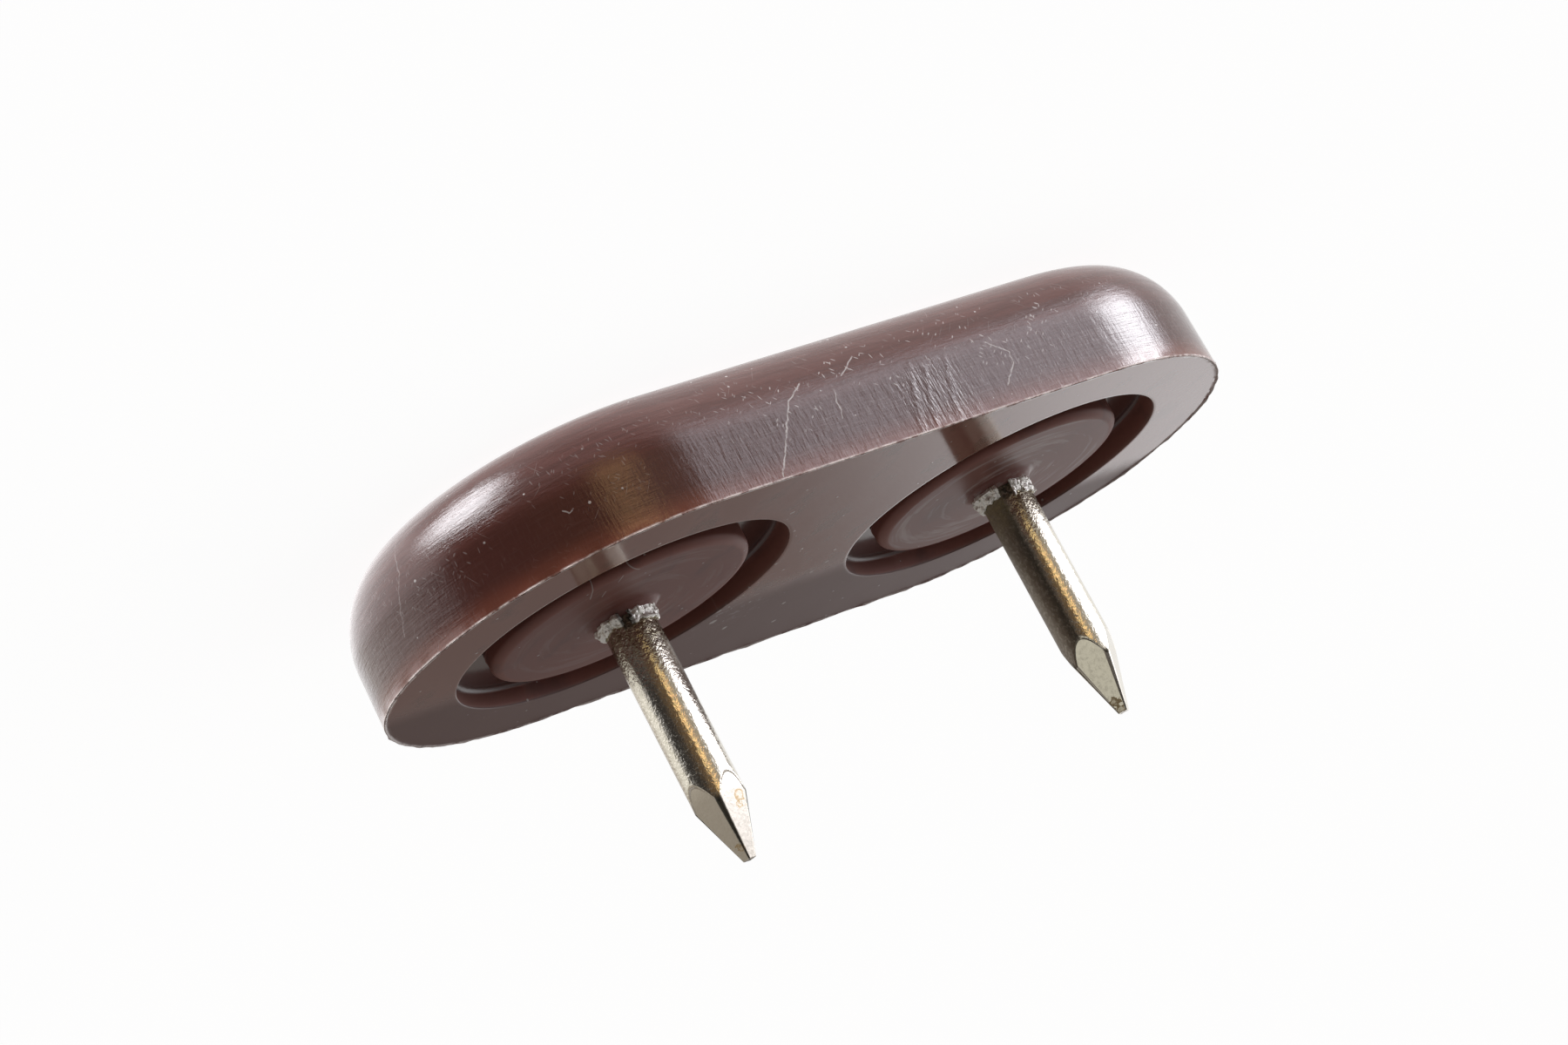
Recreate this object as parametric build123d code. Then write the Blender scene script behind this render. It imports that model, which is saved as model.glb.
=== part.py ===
from build123d import *
import math
import os

# Furniture glide: a brown plastic body with two nails moulded into it.
# Millimetres. The origin is the centre of the sole, +Z runs along the nails to their points,
# and +X runs along the body to the left nail.

# Body
body_length = 40.0
body_width = 20.6
body_height = 5.8
wall_draft = 1.1  # degrees, the wall narrows towards the sole
rounding_width = 2.9  # the sole's edge is a quarter ellipse
rounding_height = 3.4

# Recesses in the mounting face, each with a boss that carries a nail
nail_spacing = 19.2
recess_diameter = 14.6
recess_depth = 1.0
recess_foot_width = 0.28  # the groove's foot and the boss's edge are quarter ellipses too
recess_foot_height = 0.24
boss_diameter = 11.3
boss_drop = 0.1  # the boss stays below the mounting face
boss_edge_width = 0.45
boss_edge_height = 0.35

# Nails
shank_diameter = 2.2
nail_reach = 10.9  # from the mounting face to the tip
head_diameter = 5.0
head_thickness = 1.0
plastic_under_head = 1.8

# Diamond point, four facets with narrow rounded ridges between them
point_length = 3.5
tip_width = 0.42
tip_ridge_radius = 0.07
root_ridge_radius = 0.3

# Grip collar, the flared ring that the heading dies leave round the shank, open at two notches
collar_diameter = 2.75
collar_height = 0.65  # above the boss
notch_width = 0.3
notch_flank = 30.0  # degrees between a flank and the notch's middle plane
notch_floor = 0.05  # metal left over the shank

# Turns about each nail's own axis, in degrees from +X
point_turns = {"left_nail": -59.0, "right_nail": -89.0}  # a ridge of the point
grip_turns = {"left_nail": -59.0, "right_nail": -60.0}  # a notch of the collar

# Distance that a cutter runs past the surface it cuts
overrun = 1.0

# Direction of a square section's corner, in degrees from +X
section_corner = 45.0

# Derived sizes and heights
shank_radius = shank_diameter / 2
collar_radius = collar_diameter / 2
recess_floor = body_height - recess_depth
boss_top = body_height - boss_drop
collar_top = boss_top + collar_height
head_top = plastic_under_head + head_thickness
tip_height = body_height + nail_reach
nail_places = {"left_nail": Pos(nail_spacing / 2, 0, 0), "right_nail": Pos(-nail_spacing / 2, 0, 0)}


def turned(outline):
    """Solid of revolution about Z, from a closed outline with the radius on X and the height on Y."""
    return revolve(Plane.XZ * make_face(outline), axis=Axis.Z)


def body_blank():
    """Body without its recesses: the half section swept round the two ends and along the two sides."""
    end_centre = (body_length - body_width) / 2
    face_half = body_width / 2
    wall_height = body_height - rounding_height
    wall_foot_half = face_half - wall_height * math.tan(math.radians(wall_draft))
    sole_half = wall_foot_half - rounding_width
    rounding = EllipticalCenterArc(
        (sole_half, rounding_height), rounding_width, rounding_height, start_angle=270, arc_size=90
    )
    sole = Line((0, 0), (sole_half, 0))
    wall = Line((wall_foot_half, rounding_height), (face_half, body_height))
    face_and_middle = Polyline((face_half, body_height), (0, body_height), (0, 0))
    half_section = make_face(sole + rounding + wall + face_and_middle)

    section_plane = Plane((end_centre, 0, 0), x_dir=(0, -1, 0), z_dir=(-1, 0, 0))
    end = revolve(section_plane * half_section, axis=Axis((end_centre, 0, 0), (0, 0, 1)), revolution_arc=180)
    side = extrude(section_plane * half_section, amount=2 * end_centre)
    half = end + side
    return half + Rot(0, 0, 180) * half


def recess_cutter():
    """What is cut round one nail: the groove with its rounded foot, and the drop over the boss."""
    boss_radius = boss_diameter / 2
    recess_radius = recess_diameter / 2
    boss_edge = boss_radius - boss_edge_width
    boss_side_top = boss_top - boss_edge_height
    groove_edge = recess_radius - recess_foot_width
    groove_side_foot = recess_floor + recess_foot_height
    outline = Line((0, boss_top), (boss_edge, boss_top))
    outline += EllipticalCenterArc(
        (boss_edge, boss_side_top), boss_edge_width, boss_edge_height, start_angle=0, arc_size=90
    )
    outline += Polyline((boss_radius, boss_side_top), (boss_radius, recess_floor), (groove_edge, recess_floor))
    outline += EllipticalCenterArc(
        (groove_edge, groove_side_foot), recess_foot_width, recess_foot_height, start_angle=270, arc_size=90
    )
    outline += Polyline(
        (recess_radius, groove_side_foot),
        (recess_radius, body_height + overrun),
        (0, body_height + overrun),
        (0, boss_top),
    )
    return turned(outline)


def grip_notch():
    """Cutter for one notch of the grip collar, at +X: a groove along the nail that opens outwards."""
    floor = shank_radius + notch_floor
    reach = collar_radius + overrun
    floor_half = notch_width / 2
    reach_half = floor_half + (reach - floor) * math.tan(math.radians(notch_flank))
    outline = Polyline(
        (floor, -floor_half), (reach, -reach_half), (reach, reach_half), (floor, floor_half), close=True
    )
    return Pos(0, 0, head_top) * extrude(make_face(outline), amount=collar_top - head_top)


def point_section(below_tip):
    """Square section of the point with rounded corners, at a distance below the tip."""
    share = below_tip / point_length
    side = tip_width + (shank_diameter - tip_width) * share
    ridge_radius = tip_ridge_radius + (root_ridge_radius - tip_ridge_radius) * share
    return Pos(0, 0, tip_height - below_tip) * RectangleRounded(side, side, ridge_radius)


def grinding():
    """What is ground off the wire's end to leave the point, with a ridge at section_corner from +X."""
    ground_length = point_length + overrun
    facets = loft([point_section(ground_length), point_section(0)], ruled=True)
    wire_end = Pos(0, 0, tip_height - ground_length) * extrude(Circle(shank_diameter), amount=ground_length)
    return wire_end - facets


def nail(point_turn, grip_turn):
    """Nail on the Z axis: head in the plastic, grip collar, round shank and diamond point."""
    head_radius = head_diameter / 2
    outline = Polyline(
        (0, plastic_under_head),
        (head_radius, plastic_under_head),
        (head_radius, head_top),
        (collar_radius, head_top),
        (collar_radius, boss_top),
        (shank_radius, collar_top),
        (shank_radius, tip_height),
        (0, tip_height),
        close=True,
    )
    wire = turned(outline) - Rot(0, 0, point_turn - section_corner) * grinding()
    for side_turn in (0, 180):
        wire -= Rot(0, 0, grip_turn + side_turn) * grip_notch()
    return wire


def glide_body(nails):
    """Plastic body, moulded round the nails."""
    body = body_blank()
    for place in nail_places.values():
        body -= place * recess_cutter()
    for moulded_in in nails.values():
        body -= moulded_in
    return body


nails = {name: place * nail(point_turns[name], grip_turns[name]) for name, place in nail_places.items()}

os.makedirs("parts", exist_ok=True)
export_step(glide_body(nails), "parts/glide_body.step")
for name, one_nail in nails.items():
    export_step(one_nail, f"parts/{name}.step")
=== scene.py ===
import logging
import math
from dataclasses import dataclass
from enum import Enum
from typing import Callable, Iterable, Iterator, Sequence, Union

import bmesh
import bpy
from mathutils import Matrix, Vector


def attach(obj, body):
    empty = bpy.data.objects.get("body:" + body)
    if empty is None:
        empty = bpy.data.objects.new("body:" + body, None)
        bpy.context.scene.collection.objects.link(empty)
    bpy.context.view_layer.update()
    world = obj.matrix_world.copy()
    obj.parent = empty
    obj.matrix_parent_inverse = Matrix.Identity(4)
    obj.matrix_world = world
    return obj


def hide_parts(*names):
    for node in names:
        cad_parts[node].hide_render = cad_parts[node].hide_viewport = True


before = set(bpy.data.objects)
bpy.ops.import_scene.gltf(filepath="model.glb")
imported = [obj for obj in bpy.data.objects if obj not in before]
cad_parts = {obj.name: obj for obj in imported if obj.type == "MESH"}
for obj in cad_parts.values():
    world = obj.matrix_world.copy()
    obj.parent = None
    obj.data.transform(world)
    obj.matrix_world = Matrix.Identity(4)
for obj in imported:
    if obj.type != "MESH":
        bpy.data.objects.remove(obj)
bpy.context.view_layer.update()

# Metres: a millimetre, the distance under which vertices are merged, and the fineness of a cut
MM = 0.001
MERGE = 1e-7
CUT = 1e-8

WHITE = (1.0, 1.0, 1.0)
Point = tuple[float, float]
Place = tuple[float, float, float]
Colour = tuple[float, float, float]
Socket = bpy.types.NodeSocket
Wire = Union[Socket, float, int, Sequence[float]]
log = logging.getLogger("furniture_glide")


class Bench:
    """Hand tools of the bench, each one a few mesh operators."""

    @staticmethod
    def put_down() -> None:
        """Leave edit mode and deselect every object."""
        if bpy.context.mode != "OBJECT":
            bpy.ops.object.mode_set(mode="OBJECT")
        bpy.ops.object.select_all(action="DESELECT")

    @staticmethod
    def choose(*pieces: bpy.types.Object) -> None:
        """Leave edit mode and select these pieces alone, with the first one active.

        Args:
            *pieces: mesh objects.
        """
        Bench.put_down()
        for piece in pieces:
            piece.select_set(True)
        bpy.context.view_layer.objects.active = pieces[0]

    @staticmethod
    def take(piece: bpy.types.Object) -> None:
        """Open one piece in edit mode, with no other object selected.

        Args:
            piece: mesh object to work on.
        """
        Bench.choose(piece)
        bpy.ops.object.mode_set(mode="EDIT")
        bpy.ops.mesh.select_mode(type="VERT")

    @staticmethod
    def draw(name: str, points: Sequence[Vector]) -> bpy.types.Object:
        """Draw a line from point to point and stay in edit mode, with the whole line selected.

        Args:
            name: name of the new piece.
            points: places of the line's vertices, in metres.

        Returns:
            The new piece, started from a small plane that is merged to the line's first vertex.
        """
        Bench.put_down()
        bpy.ops.mesh.primitive_plane_add(size=MM, location=(0, 0, 0))
        piece = bpy.context.object
        piece.name = name
        piece.data.name = name
        bpy.ops.object.mode_set(mode="EDIT")
        bpy.ops.mesh.select_mode(type="VERT")
        bpy.ops.mesh.select_all(action="SELECT")
        bpy.ops.mesh.merge(type="CENTER")
        bpy.ops.transform.translate(value=points[0])
        for last, following in zip(points, points[1:]):
            bpy.ops.mesh.extrude_vertices_move(TRANSFORM_OT_translate={"value": following - last})
        bpy.ops.mesh.select_all(action="SELECT")
        return piece

    @staticmethod
    def pick(piece: bpy.types.Object, test: Callable[[Vector], bool]) -> None:
        """Select the vertices whose place passes a test, and the edges and faces between them.

        Args:
            piece: mesh object in edit mode.
            test: says for a place in metres if a vertex there is selected.
        """
        bpy.ops.mesh.select_all(action="DESELECT")
        sketch = bmesh.from_edit_mesh(piece.data)
        for vertex in sketch.verts:
            if test(vertex.co):
                vertex.select_set(True)
        sketch.select_flush(True)
        bmesh.update_edit_mesh(piece.data)

    @staticmethod
    def close() -> None:
        """Merge doubled vertices of the piece in edit mode and turn its faces outwards."""
        bpy.ops.mesh.select_all(action="SELECT")
        bpy.ops.mesh.remove_doubles(threshold=MERGE)
        bpy.ops.mesh.normals_make_consistent(inside=False)

    @staticmethod
    def join(pieces: Sequence[bpy.types.Object]) -> bpy.types.Object:
        """Join pieces into the first one.

        Args:
            pieces: mesh objects, the one that stays first.

        Returns:
            The joined piece.
        """
        Bench.choose(*pieces)
        bpy.ops.object.join()
        return pieces[0]

    @staticmethod
    def copy(piece: bpy.types.Object) -> bpy.types.Object:
        """Copy a piece with a mesh of its own.

        Args:
            piece: mesh object to copy.

        Returns:
            The copy.
        """
        Bench.choose(piece)
        bpy.ops.object.duplicate(linked=False)
        return bpy.context.object

    @staticmethod
    def group(piece: bpy.types.Object, name: str, test: Callable[[Vector], bool]) -> str:
        """Put the vertices whose place passes a test into a vertex group.

        Args:
            piece: mesh object.
            name: name of the new vertex group.
            test: says for a place in metres if a vertex there belongs to the group.

        Returns:
            The group's name.
        """
        Bench.put_down()
        members = [vertex.index for vertex in piece.data.vertices if test(vertex.co)]
        piece.vertex_groups.new(name=name).add(members, 1.0, "REPLACE")
        return name

    @staticmethod
    def roughen(piece: bpy.types.Object, grain: float, depth: float, group: str = "") -> None:
        """Push a surface in and out by a cloudy noise.

        Args:
            piece: mesh object.
            grain: size of the noise, in millimetres.
            depth: distance between the lowest and the highest place, in millimetres.
            group: vertex group that is pushed, or all of the piece.
        """
        Bench.choose(piece)
        clouds = bpy.data.textures.new(f"{piece.name}_clouds", "CLOUDS")
        clouds.noise_scale = grain * MM
        clouds.noise_depth = 1
        push = piece.modifiers.new("roughen", "DISPLACE")
        push.texture = clouds
        push.texture_coords = "LOCAL"
        push.strength = depth * MM
        push.mid_level = 0.5
        push.vertex_group = group
        bpy.ops.object.modifier_apply(modifier=push.name)

    @staticmethod
    def smooth(piece: bpy.types.Object, angle: float) -> None:
        """Shade a piece smooth, with edges sharper than an angle kept.

        Args:
            piece: mesh object.
            angle: angle between two faces from which their edge stays sharp, in degrees.
        """
        Bench.choose(piece)
        bpy.ops.object.shade_smooth_by_angle(angle=math.radians(angle))


def quarter(centre: Point, width: float, height: float, start: float, steps: int) -> list[Point]:
    """Points of a quarter ellipse in a half section.

    Args:
        centre: radius and height of the ellipse's centre.
        width: half axis along the radius.
        height: half axis along the height.
        start: angle of the first point, in degrees. The arc runs on for 90 degrees.
        steps: number of pieces that the arc is divided into.

    Returns:
        The points from the first to the last, each a radius and a height.
    """
    turns = [math.radians(start + 90 * step / steps) for step in range(steps + 1)]
    return [(centre[0] + width * math.cos(turn), centre[1] + height * math.sin(turn)) for turn in turns]


def ease(first: Point, last: Point, steps: int) -> list[Point]:
    """Points that divide a straight line of a half section, without its ends.

    Args:
        first: radius and height of the line's start.
        last: radius and height of the line's end.
        steps: number of pieces that the line is divided into.

    Returns:
        The points between the two ends.
    """
    shares = [step / steps for step in range(1, steps)]
    return [(first[0] + (last[0] - first[0]) * s, first[1] + (last[1] - first[1]) * s) for s in shares]


class Board:
    """A node tree that is being wired."""

    def __init__(self, tree: bpy.types.NodeTree) -> None:
        """Start on a node tree.

        Args:
            tree: tree of a material, a world or a node group.
        """
        self.tree = tree

    def add(self, kind: str, **settings: object) -> bpy.types.Node:
        """Add a node.

        Args:
            kind: the node's type name.
            **settings: the node's own settings.

        Returns:
            The new node.
        """
        node = self.tree.nodes.new(kind)
        for name, value in settings.items():
            setattr(node, name, value)
        return node

    def plug(self, sink: Socket, wire: Wire) -> None:
        """Link a socket to an input, or set the input to a constant.

        Args:
            sink: input socket.
            wire: output socket, number, vector or colour.
        """
        if isinstance(wire, Socket):
            self.tree.links.new(wire, sink)
        elif isinstance(wire, (int, float)):
            sink.default_value = wire
        elif sink.type == "RGBA" and len(wire) == 3:
            sink.default_value = (*wire, 1.0)
        else:
            sink.default_value = wire

    def wire(self, node: bpy.types.Node, *wires: Wire) -> Socket:
        """Plug wires into a node.

        Args:
            node: the node.
            *wires: values of its inputs that are in use, in their order.

        Returns:
            The first output in use.
        """
        sinks = [sink for sink in node.inputs if sink.enabled]
        for sink, wire in zip(sinks, wires):
            self.plug(sink, wire)
        return next(source for source in node.outputs if source.enabled)

    def math(self, operation: str, *wires: Wire, clamp: bool = False) -> Socket:
        """Work out a number by a sum that the Math node has, kept between 0 and 1 if asked."""
        return self.wire(self.add("ShaderNodeMath", operation=operation, use_clamp=clamp), *wires)

    def times(self, *wires: Wire) -> Socket:
        """Multiply two numbers."""
        return self.math("MULTIPLY", *wires)

    def plus(self, *wires: Wire, clamp: bool = False) -> Socket:
        """Add two numbers."""
        return self.math("ADD", *wires, clamp=clamp)

    def minus(self, *wires: Wire, clamp: bool = False) -> Socket:
        """Take the second number from the first."""
        return self.math("SUBTRACT", *wires, clamp=clamp)

    def most(self, *wires: Wire) -> Socket:
        """Choose the larger of two numbers."""
        return self.math("MAXIMUM", *wires)

    def hypot(self, first: Wire, second: Wire) -> Socket:
        """Distance that two lengths at right angles reach."""
        squares = [self.math("POWER", length, 2.0) for length in (first, second)]
        return self.math("SQRT", self.plus(*squares))

    def scale(self, vector: Wire, factors: Sequence[float]) -> Socket:
        """Scale a vector along each axis."""
        return self.vectors("MULTIPLY", vector, factors)

    def vectors(self, operation: str, *wires: Wire) -> Socket:
        """Work with vectors by a sum that the Vector Math node has."""
        return self.wire(self.add("ShaderNodeVectorMath", operation=operation), *wires)

    def apart(self, place: Wire, centre: Wire) -> Socket:
        """Distance between two places."""
        return self.vectors("LENGTH", self.vectors("SUBTRACT", place, centre))

    def split(self, vector: Wire) -> tuple[Socket, ...]:
        """Split a vector.

        Args:
            vector: the vector.

        Returns:
            Its three parts.
        """
        node = self.add("ShaderNodeSeparateXYZ")
        self.plug(node.inputs[0], vector)
        return tuple(node.outputs)

    def vector(self, x: Wire, y: Wire, z: Wire) -> Socket:
        """Make a vector of three numbers."""
        return self.wire(self.add("ShaderNodeCombineXYZ"), x, y, z)

    def fade(self, value: Wire, low: float, high: float, first: float = 0.0, last: float = 1.0) -> Socket:
        """Fade smoothly between two values.

        Args:
            value: number that the fade follows.
            low: number at which the fade starts.
            high: number at which it ends.
            first: value before the fade.
            last: value after it.

        Returns:
            The socket with the faded value.
        """
        node = self.add("ShaderNodeMapRange", interpolation_type="SMOOTHSTEP")
        return self.wire(node, value, low, high, first, last)

    def noise(self, vector: Wire, scale: float, detail: float = 2.0, roughness: float = 0.5) -> Socket:
        """Soft noise in space.

        Args:
            vector: place, in millimetres.
            scale: patches per millimetre.
            detail: number of finer layers.
            roughness: strength of the finer layers.

        Returns:
            The socket with a number around 0.5.
        """
        node = self.add("ShaderNodeTexNoise")
        self.plug(node.inputs["Vector"], vector)
        self.plug(node.inputs["Scale"], scale)
        self.plug(node.inputs["Detail"], detail)
        self.plug(node.inputs["Roughness"], roughness)
        return node.outputs[0]

    def tint(self, share: Wire, under: Wire, over: Wire) -> Socket:
        """Lay a share of the upper colour over the lower one."""
        return self.wire(self.add("ShaderNodeMix", data_type="RGBA"), share, under, over)

    def mix(self, share: Wire, under: Wire, over: Wire) -> Socket:
        """Go a share of the way from the first number to the second."""
        return self.wire(self.add("ShaderNodeMix", data_type="FLOAT"), share, under, over)

    def strongest(self, masks: Iterable[Socket]) -> Wire:
        """Lay masks over each other.

        Args:
            masks: the masks, each one wired when it is asked for.

        Returns:
            The socket with the strongest mask at each place.
        """
        whole: Wire = 0.0
        for mask in masks:
            whole = self.most(mask, whole)
        return whole

    def bump(self, height: Wire, depth: float) -> Socket:
        """Turn a height into a surface normal.

        Args:
            height: height of the relief.
            depth: millimetres that a height of 1 stands for.

        Returns:
            The socket with the normal.
        """
        node = self.add("ShaderNodeBump")
        self.plug(node.inputs["Strength"], 1.0)
        self.plug(node.inputs["Distance"], depth * MM)
        self.plug(node.inputs["Height"], height)
        return node.outputs[0]

    def place(self, group: bpy.types.NodeTree, **values: Wire) -> Socket:
        """Place a node group with its own values.

        Args:
            group: the node group.
            **values: wires for its inputs, by name.

        Returns:
            The group's first output.
        """
        node = self.add("ShaderNodeGroup", node_tree=group)
        for name, wire in values.items():
            self.plug(node.inputs[name], wire)
        return node.outputs[0]


@dataclass(frozen=True)
class Effect:
    """A shared effect as a node group, with its named inputs and one output.

    Attributes:
        name: name of the node group.
        vectors: names of its vector inputs.
        numbers: names of its number inputs.
        wiring: wires the group between its inputs and the output.
        output: name of the output, a number.
    """

    name: str
    vectors: tuple[str, ...]
    numbers: tuple[str, ...]
    wiring: Callable[[Board, dict[str, Socket]], Socket]
    output: str = "Mask"

    def group(self) -> bpy.types.NodeTree:
        """Give the node group, built the first time it is asked for.

        Returns:
            The node group.
        """
        if self.name in bpy.data.node_groups:
            return bpy.data.node_groups[self.name]
        tree = bpy.data.node_groups.new(self.name, "ShaderNodeTree")
        for kind, names in (("NodeSocketVector", self.vectors), ("NodeSocketFloat", self.numbers)):
            for name in names:
                tree.interface.new_socket(name=name, in_out="INPUT", socket_type=kind)
        tree.interface.new_socket(name=self.output, in_out="OUTPUT", socket_type="NodeSocketFloat")
        board = Board(tree)
        entry = board.add("NodeGroupInput")
        result = self.wiring(board, {name: entry.outputs[name] for name in self.vectors + self.numbers})
        board.plug(board.add("NodeGroupOutput").inputs[self.output], result)
        return tree


def wire_scratches(board: Board, inputs: dict[str, Socket]) -> Socket:
    """Short hairline scratches along one direction, one in each cell of a stretched cell pattern.

    Args:
        board: the group's node tree.
        inputs: Vector (mm), Angle (radians), Across and Along (cells per mm), Width and Share.

    Returns:
        The socket with the mask.
    """
    turn = board.add("ShaderNodeVectorRotate", rotation_type="Z_AXIS")
    board.plug(turn.inputs["Vector"], inputs["Vector"])
    board.plug(turn.inputs["Angle"], inputs["Angle"])
    along, across, _ = board.split(turn.outputs[0])
    bow = board.noise(board.vector(along, across, 0.0), 0.35, 1.0)
    across = board.times(board.plus(across, bow), inputs["Across"])
    along = board.times(along, inputs["Along"])
    cells = board.add("ShaderNodeTexVoronoi", voronoi_dimensions="2D", feature="F1")
    board.plug(cells.inputs["Vector"], board.vector(along, across, 0.0))
    board.plug(cells.inputs["Scale"], 1.0)
    chance = board.split(cells.outputs["Color"])[0]
    kept = board.math("LESS_THAN", chance, inputs["Share"])
    edge = board.math("DIVIDE", cells.outputs["Distance"], inputs["Width"])
    return board.times(kept, board.fade(edge, 1.0, 0.35))


def wire_specks(board: Board, inputs: dict[str, Socket]) -> Socket:
    """Small specks of different sizes, at most one in each cell.

    Args:
        board: the group's node tree.
        inputs: Vector (mm), Density (cells per mm), Size (share of a cell) and Share.

    Returns:
        The socket with the mask.
    """
    cells = board.add("ShaderNodeTexVoronoi", voronoi_dimensions="3D", feature="F1")
    board.plug(cells.inputs["Vector"], inputs["Vector"])
    board.plug(cells.inputs["Scale"], inputs["Density"])
    chance, spread, _ = board.split(cells.outputs["Color"])
    kept = board.math("LESS_THAN", chance, inputs["Share"])
    size = board.times(inputs["Size"], board.plus(spread, 0.3))
    edge = board.math("DIVIDE", cells.outputs["Distance"], size)
    return board.times(kept, board.fade(edge, 1.0, 0.5))


def wire_line(board: Board, inputs: dict[str, Socket]) -> Socket:
    """A scratch from one point to another.

    Args:
        board: the group's node tree.
        inputs: Vector, Start, End and Width, in millimetres.

    Returns:
        The socket with the mask.
    """
    reach = board.vectors("SUBTRACT", inputs["Vector"], inputs["Start"])
    whole = board.vectors("SUBTRACT", inputs["End"], inputs["Start"])
    share = board.math(
        "DIVIDE",
        board.vectors("DOT_PRODUCT", reach, whole),
        board.vectors("DOT_PRODUCT", whole, whole),
        clamp=True,
    )
    foot = board.vectors("MULTIPLY", whole, board.vector(share, share, share))
    offset = board.apart(reach, foot)
    return board.fade(board.math("DIVIDE", offset, inputs["Width"]), 1.0, 0.4)


def wire_card(board: Board, inputs: dict[str, Socket]) -> Socket:
    """A soft-edged card somewhere round the object, seen in a direction.

    Args:
        board: the group's node tree.
        inputs: Azimuth and Elevation of the ray, Centre Azimuth, Centre Elevation, Half Width, Half Height
            and Softness, all in degrees.

    Returns:
        The socket with the mask.
    """
    turn = board.minus(inputs["Azimuth"], inputs["Centre Azimuth"])
    turn = board.math("ABSOLUTE", board.math("WRAP", turn, 180.0, -180.0))
    level = board.math("COSINE", board.math("RADIANS", inputs["Centre Elevation"]))
    turn = board.times(turn, level)
    rise = board.math("ABSOLUTE", board.minus(inputs["Elevation"], inputs["Centre Elevation"]))
    sides = []
    for offset, half in ((turn, inputs["Half Width"]), (rise, inputs["Half Height"])):
        past = board.math("DIVIDE", board.minus(offset, half), inputs["Softness"])
        sides.append(board.fade(past, 0.5, -0.5))
    return board.times(*sides)


SCRATCHES = Effect(
    "hairline_scratches", ("Vector",), ("Angle", "Across", "Along", "Width", "Share"), wire_scratches
)
SPECKS = Effect("specks", ("Vector",), ("Density", "Size", "Share"), wire_specks)
LINE = Effect("scratch_line", ("Vector", "Start", "End"), ("Width",), wire_line)
CARD = Effect(
    "studio_card",
    (),
    ("Azimuth", "Elevation", "Centre Azimuth", "Centre Elevation", "Half Width", "Half Height", "Softness"),
    wire_card,
)


def stretches(board: Board, place: Socket, points: Sequence[Point], width: float) -> Iterator[Socket]:
    """Wire a line from point to point.

    Args:
        board: the material's node tree.
        place: place on the surface, in millimetres.
        points: the line's points.
        width: half its width.

    Yields:
        The socket with the mask of each stretch.
    """
    for start, end in zip(points, points[1:]):
        yield board.place(LINE.group(), Vector=place, Start=(*start, 0.0), End=(*end, 0.0), Width=width)


def start_finish(slot: str) -> tuple[bpy.types.Material, Board, bpy.types.Node, Socket]:
    """Start a material that is placed on the object in millimetres.

    Args:
        slot: name of the material.

    Returns:
        The material, its board, its shader and the place on the object.
    """
    material = bpy.data.materials.new(slot)
    material.use_nodes = True
    board = Board(material.node_tree)
    place = board.scale(board.add("ShaderNodeTexCoord").outputs["Object"], (1 / MM, 1 / MM, 1 / MM))
    return material, board, material.node_tree.nodes["Principled BSDF"], place


@dataclass(frozen=True)
class Scratch:
    """A scratch on the wall.

    Attributes:
        strength: how pale it is, from 0 to 1.
        width: half its width, in millimetres.
        points: its course, each point a distance along the outline from the middle of the near side, and a height.
    """

    strength: float
    width: float
    points: tuple[Point, ...]


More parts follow.
